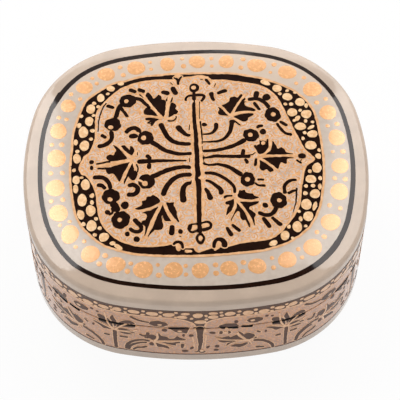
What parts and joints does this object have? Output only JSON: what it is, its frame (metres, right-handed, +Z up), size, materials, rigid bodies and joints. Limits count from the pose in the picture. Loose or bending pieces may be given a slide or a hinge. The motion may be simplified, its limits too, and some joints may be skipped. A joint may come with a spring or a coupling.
{
  "type": "lacquered paper trinket box",
  "caption": "Low lacquered papier mache box, cushion-shaped in plan, with a hand-painted lift-off lid centred by a collar.",
  "frame": {"origin": "centre of the flat underside, on the surface that the box stands on", "axes": "+X along the longer side, +Y towards the back, +Z up, the way the lid lifts"},
  "size_m": [0.114, 0.1038, 0.0403],
  "materials": {
    "paper_board": "laminated paper painted black inside the box",
    "lacquered_coat": "gesso, cream paint with black and gold ornament, clear gloss lacquer",
    "underside_coat": "plain black paint under lacquer"
  },
  "bodies": {
    "base": {"base_board": "paper_board", "base_band": "paper_board", "base_wall_coat": "lacquered_coat", "base_underside_coat": "underside_coat", "locating_collar": "paper_board"},
    "lid": {"lid_band": "paper_board", "lid_board": "paper_board", "lid_coat": "lacquered_coat"}
  },
  "joints": [
    {"name": "lid_lift", "type": "slide", "parent": "base", "child": "lid", "axis": [0, 0, 1], "range_m": [0, 0.06]}
  ]
}
